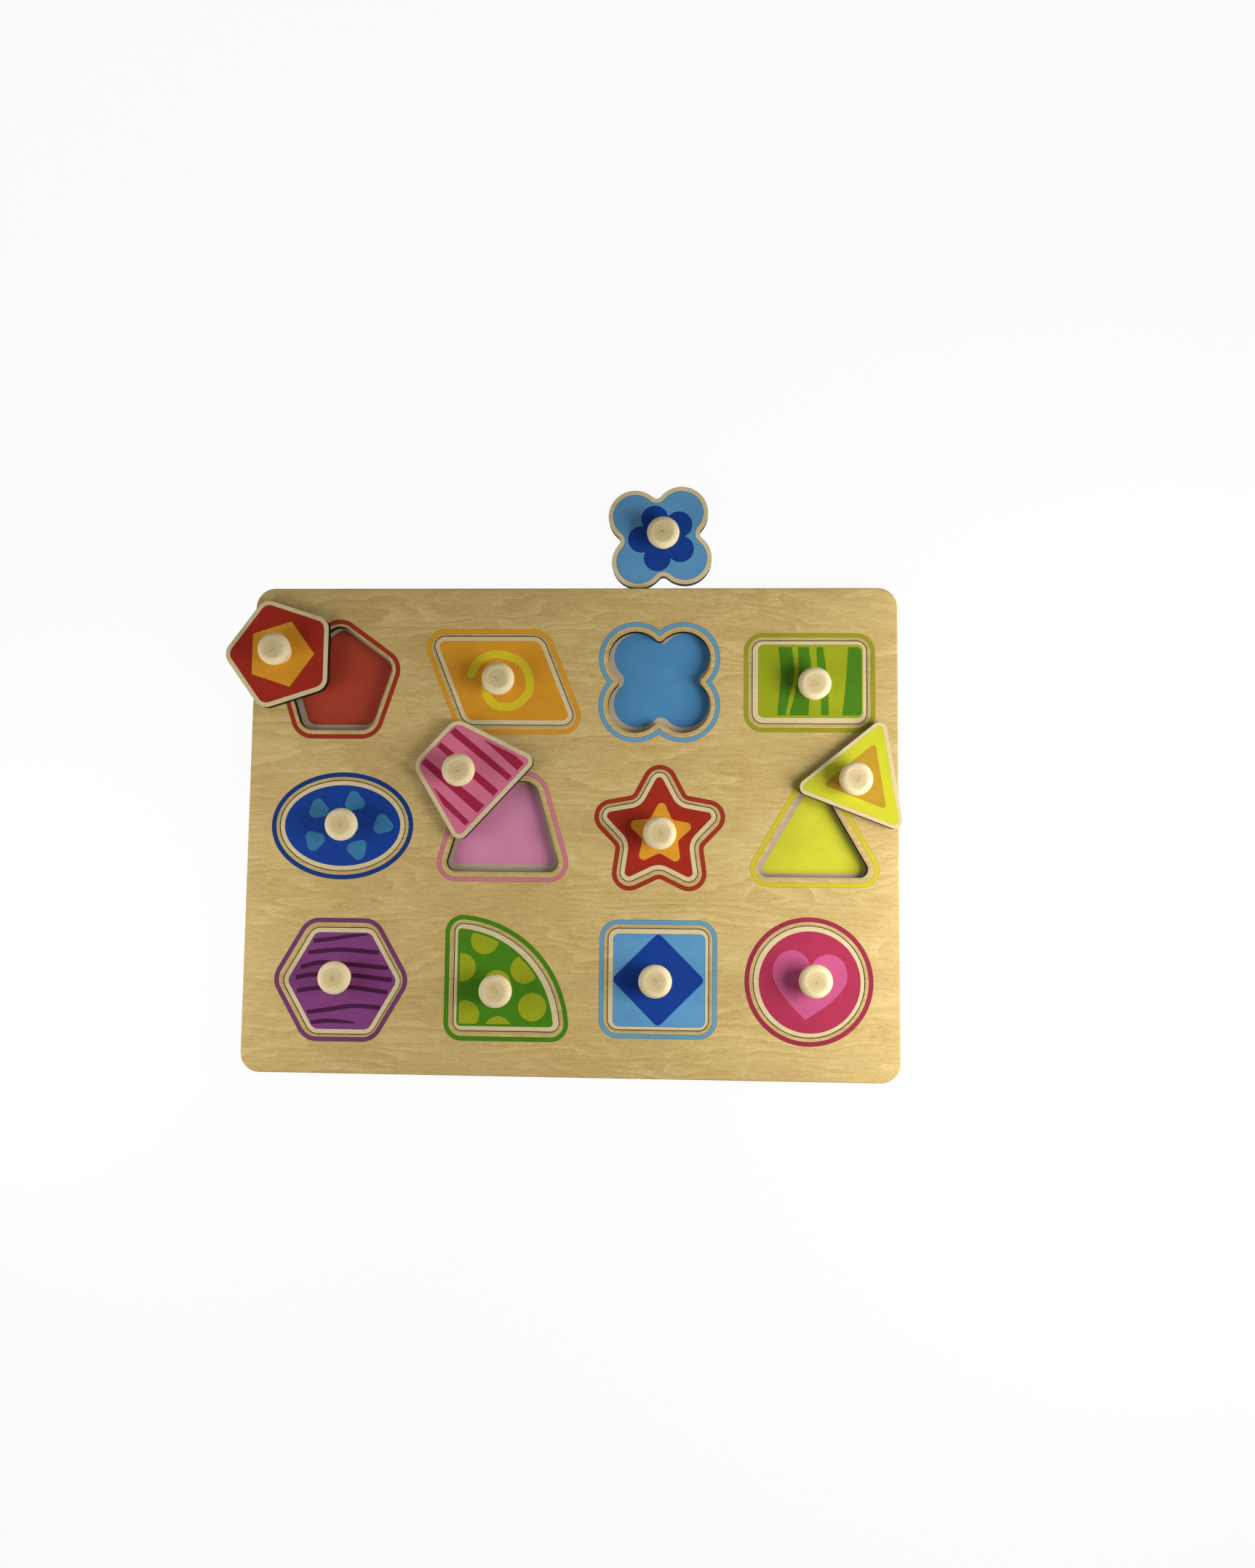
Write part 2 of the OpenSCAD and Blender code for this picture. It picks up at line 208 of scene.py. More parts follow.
def flower(grow):
    """Four lobes with notches that touch both neighbours. A notch that would close opens its radius
    instead."""
    out, lobe = FLOWER_OUT, FLOWER_LOBE_R
    notch = max(FLOWER_NOTCH_R, grow + FLOWER_NOTCH_LEAST)
    far = out + math.sqrt((lobe + notch) ** 2 - out * out)
    lobe_first = math.atan2(-out, far - out)
    hollow = math.atan2(far - out, out)
    arcs = []
    for quarter_turn in range(4):
        t = quarter_turn * np.pi / 2
        lobe_at = polar(out * math.sqrt(2), 45 + 90 * quarter_turn)
        notch_at = polar(far, 90 + 90 * quarter_turn)
        arcs.append([*lobe_at, lobe, lobe_first + t, np.pi / 2 - 2 * lobe_first])
        arcs.append([*notch_at, notch, t - hollow, 2 * hollow - np.pi])
    return outline(arcs, grow)


def rectangle(grow):
    """A rectangle with round corners."""
    return outline(rounded(box(*RECTANGLE_SIDES), RECTANGLE_ROUND), grow)


def oval(half_length, half_width, grow):
    """An ellipse moved outwards along its normals."""
    t = np.linspace(0, FULL_TURN, ROUND_STEPS, endpoint=False)
    normal = np.stack([half_width * np.cos(t), half_length * np.sin(t)], -1)
    normal /= np.linalg.norm(normal, axis=1)[:, None]
    return np.stack([half_length * np.cos(t), half_width * np.sin(t)], -1) + grow * normal


def ellipse(grow):
    """An ellipse, longer along X."""
    return oval(*ELLIPSE_HALVES, grow)


def trapezoid(grow):
    """A trapezoid with round corners, its longer side below."""
    low = box(TRAPEZOID_LOW, TRAPEZOID_H)[:2]
    top = box(TRAPEZOID_TOP, TRAPEZOID_H)[2:]
    return outline(rounded(np.concatenate([low, top]), TRAPEZOID_ROUND), grow)


def star_corners(tip, inner):
    """Corners of a five-pointed star, tip and inner corner by turns, the first tip up."""
    return np.stack([regular(5, tip, 90), regular(5, inner, 126)], 1).reshape(-1, 2)


def star(grow):
    """A five-pointed star with round tips and round inner corners."""
    return outline(rounded(star_corners(STAR_TIP_R, STAR_INNER_R), STAR_ROUND * 5), grow)


def triangle(grow):
    """A triangle of equal sides with round corners, one corner up."""
    return outline(rounded(regular(3, TRIANGLE_R, 90), TRIANGLE_ROUND), grow)


def hexagon(grow):
    """A regular hexagon with round corners, one corner to the right."""
    return outline(rounded(regular(6, HEXAGON_R, 0), HEXAGON_ROUND), grow)


def quarter(grow):
    """A quarter disc with three round corners, its box centred on the origin."""
    size, r = QUARTER_SIDE, QUARTER_ROUND
    far = math.sqrt((size - r) ** 2 - r * r)
    lift = math.atan2(r, far)
    low = -size / 2
    right = np.pi / 2
    arcs = [
        [low + r, low + r, r, np.pi, right],
        [low + far, low + r, r, -right, right + lift],
        [low, low, size, lift, right - 2 * lift],
        [low + r, low + far, r, right - lift, right + lift],
    ]
    return outline(arcs, grow)


def square(grow):
    """A square with round corners."""
    return outline(rounded(box(SQUARE_SIDE, SQUARE_SIDE), SQUARE_ROUND), grow)


def circle(grow):
    """A circle."""
    return oval(CIRCLE_R, CIRCLE_R, grow)


# Each shape's outline, the turn of its tile and, for a loose tile, its distance from its recess
SHAPES = {
    "pentagon": (pentagon, 90.0, (-35.3, 16.7)),
    "parallelogram": (parallelogram, 0.0, (0, 0)),
    "flower": (flower, 4.7, (-0.4, 91.95)),
    "rectangle": (rectangle, 0.0, (0, 0)),
    "ellipse": (ellipse, 0.0, (0, 0)),
    "trapezoid": (trapezoid, 47.4, (-22.7, 33.4)),
    "star": (star, 0.0, (0, 0)),
    "triangle": (triangle, -21.0, (27.9, 38.1)),
    "hexagon": (hexagon, 0.0, (0, 0)),
    "quarter": (quarter, 0.0, (0, 0)),
    "square": (square, 0.0, (0, 0)),
    "circle": (circle, 0.0, (0, 0)),
}
# Where the print runs off register: a ring's slip and spread, a floor print's inset and slip, and a field's
# inset and slip
RING_SLIP = {
    "pentagon": (0, -0.6),
    "parallelogram": (0, -0.7),
    "rectangle": (0, -0.35),
    "ellipse": (0, -0.2),
    "star": (0.3, -0.5),
    "triangle": (1.0, -0.3),
    "hexagon": (-0.8, 0.7),
    "quarter": (-0.1, -0.4),
}
RING_SPREAD = {"flower": 1.0, "trapezoid": 1.2, "triangle": 1.0, "quarter": 0.5}
FLOOR_FIT = {
    "pentagon": (2.8, (0.75, 1.3)),
    "trapezoid": (3.1, (0.1, 1.6)),
    "triangle": (2.2, (1.15, 0.35)),
}
FIELD_FIT = {"triangle": 2.2, "square": 2.35}
FIELD_SLIP = {
    "rectangle": (0.7, 0.55),
    "square": (0.7, -0.65),
    "circle": (0.5, -0.3),
    "quarter": (-0.9, -0.1),
}


def node_box(node):
    """Lowest and highest corner of a CAD node, in millimetres."""
    low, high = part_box(node)
    return np.array(low) / MM, np.array(high) / MM


BOARD_LOW, BOARD_HIGH = node_box("frame_panel")
BOARD_HALF = BOARD_HIGH[:2]
BOARD_TOP = BOARD_HIGH[2]
BACKING_TOP = BOARD_LOW[2]


def tile_place(shape):
    """Middle of a tile: its node's box, less the box of the turned outline."""
    make, turn, _ = SHAPES[shape]
    low, high = node_box(shape + "_tile")
    own = turned(make(0), turn)
    return (low + high)[:2] / 2 - (own.min(0) + own.max(0)) / 2


PLACE = {shape: tile_place(shape) for shape in SHAPES}
RECESS = {shape: PLACE[shape] - SHAPES[shape][2] for shape in SHAPES}
TILE_LOW = {shape: node_box(shape + "_tile")[0][2] for shape in SHAPES}
TILE_TOP = {shape: node_box(shape + "_tile")[1][2] for shape in SHAPES}


def on_tile(shape, points):
    """Points of a tile's own plan, turned and moved to where the tile lies."""
    return turned(points, SHAPES[shape][1]) + PLACE[shape]


def at_height(points, z):
    """Plan points lifted to a height."""
    return np.column_stack([points, np.full(len(points), z)])


def ring_faces(rows, count):
    """Quads between neighbouring closed rings of count points."""
    i, j = np.mgrid[0 : rows - 1, 0:count]
    a = i * count + j
    b = i * count + (j + 1) % count
    return np.stack([a, b, b + count, a + count], -1).reshape(-1, 4)


def skin(rings, char=None):
    """Closed skin over a stack of rings: quads between rings, and a fan to the middle of each end ring.
    char says, ring by ring, how charred the surface is."""
    rings = np.asarray(rings, float)
    rows, count, _ = rings.shape
    verts = np.concatenate([rings.reshape(-1, 3), rings[:1].mean(1), rings[-1:].mean(1)])
    j = np.arange(count)
    k = (j + 1) % count
    last = (rows - 1) * count
    low = np.stack([k, j, np.full(count, rows * count)], -1)
    high = np.stack([j + last, k + last, np.full(count, rows * count + 1)], -1)
    faces = ring_faces(rows, count).tolist() + low.tolist() + high.tolist()
    marks = np.zeros(rows) if char is None else np.asarray(char, float)
    return verts, faces, np.concatenate([np.repeat(marks, count), marks[[0, -1]]])


def joined(parts):
    """Several skins as one."""
    verts, faces, marks, start = [], [], [], 0
    for v, f, m in parts:
        verts.append(v)
        marks.append(m)
        faces += [[i + start for i in face] for face in f]
        start += len(v)
    return np.concatenate(verts), faces, np.concatenate(marks)


def film(points, z, coats=1):
    """A film of ink: an outline from just under a face to some coats above it, closed by fans."""
    return skin([at_height(points, z - INK_ROOT), at_height(points, z + INK * coats)])


def field_film(make, z):
    """A field of ink from its edge inwards, with a thin line along the edge. make gives the outline at an
    inset."""
    rings = [at_height(make(0), z - INK_ROOT)]
    rings += [at_height(make(inset), z + INK) for inset in (0, RIM_LINE / 2, RIM_LINE)]
    return skin(rings, (1, 1, 1, 0))


def ribbon(left, right, z):
    """A strip of a motif between two edges: a four-cornered section carried along them."""
    low, high = z - INK_ROOT, z + INK * MOTIF_COATS
    rows = [at_height(left, low), at_height(left, high), at_height(right, high), at_height(right, low)]
    return skin(np.stack(rows, 1))


def smooth_path(points):
    """Catmull-Rom curve through a few points: each span is the cubic that leaves and arrives
    along the chords of its neighbours."""
    p = np.asarray(points, float)
    p = np.concatenate([2 * p[:1] - p[1:2], p, 2 * p[-1:] - p[-2:-1]])
    a, b, c, d = (p[i : len(p) - 3 + i, None] for i in range(4))
    t = (np.arange(PATH_STEPS) / PATH_STEPS)[None, :, None]
    square_part = a - 2.5 * b + 2 * c - d / 2
    cube_part = 1.5 * (b - c) + (d - a) / 2
    curve = b + t * (c - a) / 2 + t**2 * square_part + t**3 * cube_part
    return np.concatenate([curve.reshape(-1, 2), p[-2:-1]])


# A half-round end starts at this share of its radius, so that it keeps a width
END_LEAST = 0.03


def band(points, width, z, round_ends=True, end_width=1.0):
    """A strip of ink of even width along a smooth path, with half-round ends or narrowed to end_width."""
    path = smooth_path(points)
    step = np.gradient(path, axis=0)
    step /= np.linalg.norm(step, axis=1)[:, None]
    along = np.concatenate([[0], np.cumsum(np.linalg.norm(np.diff(path, axis=0), axis=1))])
    half = np.full(len(path), width / 2)
    if round_ends:
        near = np.minimum(along, along[-1] - along)
        inwards = np.clip(near / (width / 2), END_LEAST, 1)
        half *= np.sqrt(np.clip(1 - (1 - inwards) ** 2, 0, 1))
    half *= 1 + (end_width - 1) * (along / along[-1]) ** 3
    side = np.stack([-step[:, 1], step[:, 0]], -1) * half[:, None]
    return ribbon(path + side, path - side, z)


def reach(points, middle, angles):
    """Distance from a point inside an outline to the outline, at angles in radians: where each ray
    crosses the stretch between the two outline points on either side of it."""
    away = points - middle
    turn = np.arctan2(away[:, 1], away[:, 0])
    order = np.argsort(turn)
    after = np.searchsorted(turn[order], angles) % len(order)
    start, end = away[order[after - 1]], away[order[after]]
    step = end - start
    across = np.cos(angles) * step[:, 1] - np.sin(angles) * step[:, 0]
    return (start[:, 0] * step[:, 1] - start[:, 1] * step[:, 0]) / across


def common(first, second, middle):
    """Outline of what two convex outlines have in common, as the lesser reach from a point inside both."""
    angles = np.linspace(-np.pi, np.pi, ROUND_STEPS, endpoint=False)
    least = np.minimum(reach(first, middle, angles), reach(second, middle, angles))
    return middle + least[:, None] * np.stack([np.cos(angles), np.sin(angles)], -1)


def quarter_round():
    """Sine and cosine of a rounded edge, from its side to its top."""
    t = np.linspace(0, np.pi / 2, EDGE_STEPS)
    return np.stack([np.sin(t), np.cos(t)], -1)


class Value:
    """A shader socket. Operators on it add Math nodes, so a formula reads as it is written."""

    def __init__(self, nodes, socket):
        self.nodes = nodes
        self.socket = socket

    def math(self, operation, *others):
        """A Math node of this value and others."""
        sockets = dict(enumerate((self, *others)))
        return self.nodes.node("ShaderNodeMath", {"operation": operation}, sockets)

    def __add__(self, other):
        return self.math("ADD", other)

    __radd__ = __add__

    def __sub__(self, other):
        return self.math("SUBTRACT", other)

    def __rsub__(self, other):
        return self.math("MULTIPLY", -1.0) + other

    def __mul__(self, other):
        return self.math("MULTIPLY", other)

    __rmul__ = __mul__

    def __truediv__(self, other):
        return self.math("DIVIDE", other)

    def __pow__(self, other):
        return self.math("POWER", other)

    def sine(self):
        """Sine of this value, in radians."""
        return self.math("SINE")

    def over(self, low, high):
        """0 up to low, 1 from high, and a smooth step between."""
        sockets = {"Value": self, "From Min": low, "From Max": high}
        return self.nodes.node("ShaderNodeMapRange", {"interpolation_type": "SMOOTHSTEP"}, sockets)

    def mix(self, none, full):
        """A colour between two, by this value. A Mix node's colours are its inputs 6 and 7 and output 2."""
        sockets = {0: self, 6: none, 7: full}
        return self.nodes.node("ShaderNodeMix", {"data_type": "RGBA"}, sockets, 2)


# The rays that see the white background: straight from the camera, off a gloss and through glass
SEEING_RAYS = ("Is Camera Ray", "Is Glossy Ray", "Is Transmission Ray")


class Nodes:
    """The nodes of a material or world. node() adds any node, by its type, its settings, and the values
    or links of its sockets."""

    def __init__(self, owner, end):
        owner.use_nodes = True
        self.tree = owner.node_tree
        self.surface = self.tree.nodes[end].inputs["Surface"]

    def node(self, kind, settings=None, sockets=None, output=0):
        """Adds a node and gives one of its outputs."""
        made = self.tree.nodes.new(kind)
        for key, value in (settings or {}).items():
            setattr(made, key, value)
        for key, value in (sockets or {}).items():
            self.feed(made.inputs[key], value)
        return Value(self, made.outputs[output])

    def feed(self, socket, value):
        """Links a socket to a Value, or sets it to a number or colour."""
        if isinstance(value, Value):
            self.tree.links.new(value.socket, socket)
        elif hasattr(value, "__len__") and len(value) == 3 and socket.type == "RGBA":
            socket.default_value = (*value, 1.0)
        else:
            socket.default_value = value

    def show(self, factor, lit, white):
        """Ends the tree in a lit shader, mixed by factor with a white one for the rays that see the
        background."""
        camera, gloss, glass = (self.node("ShaderNodeLightPath", output=ray) for ray in SEEING_RAYS)
        seen = camera.math("MAXIMUM", gloss).math("MAXIMUM", glass) * factor
        self.feed(self.surface, self.node("ShaderNodeMixShader", None, {0: seen, 1: lit, 2: white}))


class Finish(Nodes):
    """One material: its main shader, and short names for common nodes."""

    def __init__(self, name):
        self.material = bpy.data.materials.new(name)
        super().__init__(self.material, "Material Output")
        self.shader = self.tree.nodes["Principled BSDF"]
        self.place = self.node("ShaderNodeTexCoord", output="Object")

    def set(self, **sockets):
        """Feeds the main shader's sockets, by their names in small letters."""
        for key, value in sockets.items():
            name = key.replace("_", " ").title().replace("Ior", "IOR")
            self.feed(self.shader.inputs[name], value)
        return self.material

    def noise(self, size, detail=2.0, roughness=0.5, distortion=0.0):
        """Noise with blobs of a size along X, Y and Z in millimetres."""
        scale = tuple(1 / (s * MM) for s in size)
        where = {"Vector": self.place, "Scale": scale}
        sockets = {
            "Vector": self.node("ShaderNodeMapping", {"vector_type": "POINT"}, where),
            "Scale": 1.0,
            "Detail": detail,
            "Roughness": roughness,
            "Distortion": distortion,
        }
        return self.node("ShaderNodeTexNoise", None, sockets)

    def axis(self, name):
        """A coordinate in millimetres."""
        return self.node("ShaderNodeSeparateXYZ", None, {0: self.place}, name) / MM

    def mark(self, name):
        """A value stored on the piece's points."""
        return self.node("ShaderNodeAttribute", {"attribute_name": name}, None, "Fac")

    def bump(self, height, depth, strength):
        """Bump of a depth in millimetres."""
        sockets = {"Strength": strength, "Distance": depth * MM, "Height": height}
        return self.node("ShaderNodeBump", None, sockets, "Normal")


def srgb(red, green, blue):
    """A colour written as a screen shows it, 0 to 255, as linear light."""
    c = np.array([red, green, blue]) / 255
    return tuple(np.where(c <= 0.04045, c / 12.92, ((c + 0.055) / 1.055) ** 2.4))


# Burnt cuts, the darker, greyer tone of the wood beside them, and how far it colours the wood
CHAR_DARK = srgb(10, 8, 6)
CHAR_BROWN = srgb(40, 28, 18)
NEAR_CUT_TONE = srgb(132, 116, 80)
NEAR_CUT_SHARE = 0.3

# Plies on bare sides, and the distance from one dark ply to the next
PLY_DARK = srgb(150, 112, 68)
PLY_PALE = srgb(206, 178, 128)
PLY_STREAK = srgb(112, 80, 46)
BACKING_PLY_DARK = srgb(138, 102, 62)
BACKING_PLY_PALE = srgb(196, 166, 118)
CHAR_PLY = 1.9
BOARD_PLY = 2.4
BACKING_PLY = 2.0

# Pegs: crown, end grain on the flat top, its darker middle, and specks at the centre
CROWN_PALE = srgb(240, 224, 182)
CROWN_DEEP = srgb(220, 198, 148)
END_PALE = srgb(219, 198, 147)
END_DEEP = srgb(188, 164, 113)
END_MIDDLE = srgb(180, 156, 106)
SPECK = srgb(92, 66, 38)
TOOL_RING = 0.9
PEG_GROWTH = 2.1

# The backing's face, the spacing of the veneer's growth lines, and the gloss of wood and ink
BACKING_DEEP = srgb(172, 152, 128)
BACKING_PALE = srgb(204, 184, 154)
GROWTH_LINE = 8
WOOD_GLOSS = 0.15
INK_GLOSS = 0.08

# Shares of an ink's own light in its dark and fresh places and along a rim
INK_DARK = 0.78
INK_FRESH = 1.08
INK_RIM = 0.45


def tinted(colour, share):
    """A share of a colour's light."""
    return tuple(c * share for c in colour)


def charred(finish, flat, depth):
    """Colour with the burnt look of a cut edge where depth is 1: near black, with browner plies."""
    plies = finish.axis("Z") * (FULL_TURN / CHAR_PLY) + finish.noise((30, 30, 3)) * 2
    plies = plies.sine() * 0.5 + 0.5
    burnt = (plies * finish.noise((2, 2, 0.6), 3)).over(0.1, 0.75).mix(CHAR_DARK, CHAR_BROWN)
    return depth.over(0.25, 0.75).mix(flat, burnt)


def layered(finish, spacing, dark, pale):
    """Plies one over another: a sine of the height with softly stepped flanks."""
    return (finish.axis("Z") * (FULL_TURN / spacing)).sine().over(-0.25, 0.25).mix(dark, pale)


def veneer(name, deep, pale, figure=1.0):
    """Rotary-cut pale wood with its grain along X: contour-like growth lines, each pale on one side and
    fading on the other, short flecks and fine fibres. The wood turns darker and greyer towards a cut, cut
    walls are charred, and the board's side shows its plies."""
    f = Finish(name)
    sway = f.noise((110, 34, 60), 2, 0.45, 0.5)
    ripple = f.noise((34, 9, 20), 4, 0.6, 0.8)
    growth = (f.axis("Y") / GROWTH_LINE + sway * 9.0 + ripple * 1.1).math("FRACT")
    shown = f.noise((44, 20, 60), 2).over(0.36, 0.64)
    line = growth.over(0.0, 0.12) * (1 - growth.over(0.12, 0.95))
    contour = growth.over(0.0, 0.05) * (1 - growth.over(0.07, 0.2))
    feather = f.noise((40, 9, 20), 5, 0.65, 1.4).over(0.48, 0.72)
    cloud = f.noise((80, 26, 60), 2).over(0.25, 0.75)
    fleck = f.noise((3.0, 1.3, 2), 3, 0.6)
    fibre = f.noise((14, 0.8, 2), 2, 0.5)
    grain = f.noise((0.8, 0.6, 0.8), 2, 0.6)
    fine = (fleck - 0.5) * 0.7 + (fibre - 0.5) * 0.6 + (grain - 0.5) * 0.8
    lines = ((line - 0.35) * 0.3 + contour * 0.14) * shown
    broad = (cloud - 0.5) * 0.2 + lines + (feather - 0.3) * 0.24
    wood = ((fine + broad) * figure + 0.5).over(-0.3, 1.3).mix(deep, pale)
    char = f.mark("char")
    # The wood turns darker and greyer towards a cut, by the low end of the char mark
    wood = (char.over(0.0, 0.25) * NEAR_CUT_SHARE).mix(wood, NEAR_CUT_TONE)
    ply = layered(f, BOARD_PLY, PLY_DARK, PLY_PALE)
    ply = (f.noise((7, 7, 0.4), 3) * 0.4).mix(ply, PLY_STREAK)
    wood = f.mark("edge").over(0.3, 0.7).mix(wood, ply)
    return f.set(
        base_color=charred(f, wood, char),
        roughness=0.5 + fibre * 0.16,
        specular_ior_level=WOOD_GLOSS,
        normal=f.bump(fibre * 0.4 + fleck * 0.4 + grain * 0.2, 0.04, 0.5),
    )


def printed(name, colour, rim_depth):
    """Ink rolled on wood: even, with a fine grain and a trace of the wood's flecks, and darker along the
    rim of a field or ring."""
    f = Finish("ink_" + name)
    fleck = f.noise((5, 1.2, 3), 2, 0.6)
    cloud = f.noise((28, 18, 20), 2)
    grit = f.noise((0.5, 0.45, 0.5), 2)
    tone = (0.5 + (fleck - 0.5) * 0.25 + (cloud - 0.5) * 0.5 + (grit - 0.5) * 0.8).over(0.1, 0.85)
    even = tone.mix(tinted(colour, INK_DARK), tinted(colour, INK_FRESH))
    return f.set(
        base_color=(f.mark("char") * rim_depth).mix(even, tinted(colour, INK_RIM)),
        roughness=0.42 + grit * 0.16,
        specular_ior_level=INK_GLOSS,
        normal=f.bump(fleck * 0.4 + grit * 0.6, 0.025, 0.4),
    )


def turned_wood():
    """Pale wood turned on a lathe, its grain upright: streaks down a pale side and crown, and a darker end
    grain on the flat top with growth lines, fine tool rings and a few dark specks at the centre."""
    f = Finish("turned_wood")
    sway = f.noise((9, 14, 40), 2, 0.5, 0.3)
    lines = ((f.axis("X") * 0.55 - f.axis("Y") * 0.8) / PEG_GROWTH + sway * 3.0) * FULL_TURN
    growth = (lines.sine() * 0.5 + 0.5) ** 4
    streak = f.noise((0.8, 0.8, 12), 3, 0.6)
    blotch = f.noise((6, 6, 10), 2)
    radius = f.mark("radius")
    tool = (radius * (FULL_TURN / TOOL_RING) + sway * 4).sine() * 0.5 + 0.5
    tone = (growth * 0.12 + streak * 0.5 + blotch * 0.4 + tool * 0.06 - 0.1).over(0.1, 0.8)
    end_grain = ((1 - radius.over(0.5, 5.5)) * 0.4).mix(tone.mix(END_PALE, END_DEEP), END_MIDDLE)
    wood = ((1 - radius.over(4.6, 8.0)) * 0.85).mix(tone.mix(CROWN_PALE, CROWN_DEEP), end_grain)
    speck = f.noise((0.7, 0.7, 3), 2).over(0.54, 0.64) * (1 - radius.over(0.8, 2.6))
    return f.set(
        base_color=(speck * 0.75).mix(wood, SPECK),
        roughness=0.46 + streak * 0.14,
        specular_ior_level=WOOD_GLOSS,
        normal=f.bump(tool * 0.4 + streak * 0.7 - speck, 0.05, 0.6),
    )


def bare_backing():
    """Thin grey-brown plywood: dull fibres along X, and plies on its side."""
    f = Finish("bare_backing")
    fibre = f.noise((18, 0.6, 3), 3, 0.6)
    cloud = f.noise((60, 20, 20), 2)
    wood = (fibre * 0.6 + cloud * 0.5).over(0.3, 0.85).mix(BACKING_DEEP, BACKING_PALE)
    ply = layered(f, BACKING_PLY, BACKING_PLY_DARK, BACKING_PLY_PALE)
    return f.set(
        base_color=f.mark("edge").over(0.3, 0.7).mix(wood, ply),
        roughness=0.55 + fibre * 0.15,
        normal=f.bump(fibre, 0.05, 0.5),
    )


# Points nearer than this, in metres, are one point, and a sharper bend than this keeps its edge
WELD = 1e-7
SHARP_BEND = 40


def piece(name, part, material, body, stands_for=None, marks=None):
    """Makes a mesh object from a skin and hangs it on its body."""
    verts, faces, char = part
    mesh = bpy.data.meshes.new(name)
    mesh.from_pydata((verts * MM).tolist(), [], faces)
    for key, values in {"char": char, **(marks or {})}.items():
        stored = mesh.attributes.new(key, "FLOAT", "POINT").data
        stored.foreach_set("value", np.asarray(values, np.float32))
    welded = bmesh.new()
    welded.from_mesh(mesh)
    bmesh.ops.remove_doubles(welded, verts=welded.verts, dist=WELD)
    welded.to_mesh(mesh)
    welded.free()
    mesh.polygons.foreach_set("use_smooth", np.ones(len(mesh.polygons), bool))
    mesh.set_sharp_from_angle(angle=math.radians(SHARP_BEND))
    mesh.materials.append(material)
    made = bpy.data.objects.new(name, mesh)
    bpy.context.scene.collection.objects.link(made)
    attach(made, body)
    if stands_for:
        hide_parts(stands_for)


COLOUR = {
    "brick_red": srgb(159, 43, 27),
    "floor_red": srgb(177, 68, 47),
    "orange": srgb(217, 150, 41),
    "curl_yellow": srgb(219, 195, 44),
    "light_blue": srgb(94, 152, 194),
    "floor_blue": srgb(78, 139, 184),
    "deep_blue": srgb(22, 61, 143),
    "petal_blue": srgb(57, 118, 157),
    "lime": srgb(154, 163, 30),
    "grass_green": srgb(74, 124, 25),
    "leaf_green": srgb(71, 127, 22),
    "pink": srgb(213, 113, 141),
    "floor_pink": srgb(218, 139, 172),
    "wine": srgb(159, 38, 69),
    "yellow": srgb(200, 198, 47),
    "floor_yellow": srgb(206, 203, 54),
    "amber": srgb(184, 143, 40),
    "purple": srgb(128, 63, 119),
    "plum": srgb(70, 22, 61),
    "magenta": srgb(172, 50, 80),
    "ring_red": srgb(154, 52, 33),
    "ring_lime": srgb(152, 150, 38),
    "ring_yellow": srgb(202, 186, 47),
    "ring_pink": srgb(204, 125, 136),
    "ring_magenta": srgb(153, 47, 68),
    "ring_blue": srgb(102, 154, 185),
    "ring_purple": srgb(115, 59, 100),
    "ring_navy": srgb(22, 56, 122),
    "rose": srgb(194, 88, 132),
}
# How strong the dark line along an ink's rim is
RIM_DEPTH = {"light_blue": 0.8, "ring_blue": 0.8, "pink": 0.6, "ring_pink": 0.6, "ring_yellow": 0.6}
PLAIN_RIM = 0.3
INKS = {name: printed(name, colour, RIM_DEPTH.get(name, PLAIN_RIM)) for name, colour in COLOUR.items()}
# Inks of each shape: ring on the board, recess floor, field and motif on the tile
SHAPE_INKS = {
    "pentagon": ("ring_red", "floor_red", "brick_red", "orange"),
    "parallelogram": ("orange", "orange", "orange", "curl_yellow"),
    "flower": ("ring_blue", "floor_blue", "light_blue", "deep_blue"),
    "rectangle": ("ring_lime", "lime", "lime", "grass_green"),
    "ellipse": ("ring_navy", "deep_blue", "deep_blue", "petal_blue"),
    "trapezoid": ("ring_pink", "floor_pink", "pink", "wine"),
    "star": ("ring_red", "floor_red", "brick_red", "orange"),
    "triangle": ("ring_yellow", "floor_yellow", "yellow", "amber"),
    "hexagon": ("ring_purple", "purple", "purple", "plum"),
    "quarter": ("leaf_green", "leaf_green", "leaf_green", "lime"),
    "square": ("ring_blue", "floor_blue", "light_blue", "deep_blue"),
    "circle": ("ring_magenta", "magenta", "magenta", "rose"),
}
BOARD_WOOD = veneer("board_wood", deep=srgb(174, 140, 77), pale=srgb(220, 196, 133))
TILE_WOOD = veneer("tile_wood", deep=srgb(193, 172, 124), pale=srgb(228, 212, 168), figure=0.6)
PEG_WOOD = turned_wood()
BACKING_WOOD = bare_backing()


def cell_border(column, row, inset):
    """Border of one recess's cell of the board: equal steps along its four sides, anticlockwise from the
    lower left. Sides on the board's edge move in by inset, and points past a board corner go onto its
    arc."""
    xs = (-BOARD_HALF[0] + inset, *CELL_X, BOARD_HALF[0] - inset)
    ys = (BOARD_HALF[1] - inset, *CELL_Y, -BOARD_HALF[1] + inset)
    corners = np.array(
        [
            (xs[column], ys[row + 1]),
            (xs[column + 1], ys[row + 1]),
            (xs[column + 1], ys[row]),
            (xs[column], ys[row]),
        ]
    )
    t = (np.arange(CELL_SIDE_STEPS) / CELL_SIDE_STEPS)[None, :, None]
    sides = corners[:, None] + (np.roll(corners, -1, 0) - corners)[:, None] * t
    points = sides.reshape(-1, 2)
    bend = np.sign(points) * (BOARD_HALF - BOARD_CORNER_R)
    past = points - bend
    over = (past * np.sign(points) > 0).all(1)
    away = np.linalg.norm(past, axis=1)[:, None]
    points[over] = (bend + past / np.maximum(away, LEAST_LENGTH) * (BOARD_CORNER_R - inset))[over]
    return points.reshape(4, -1, 2)


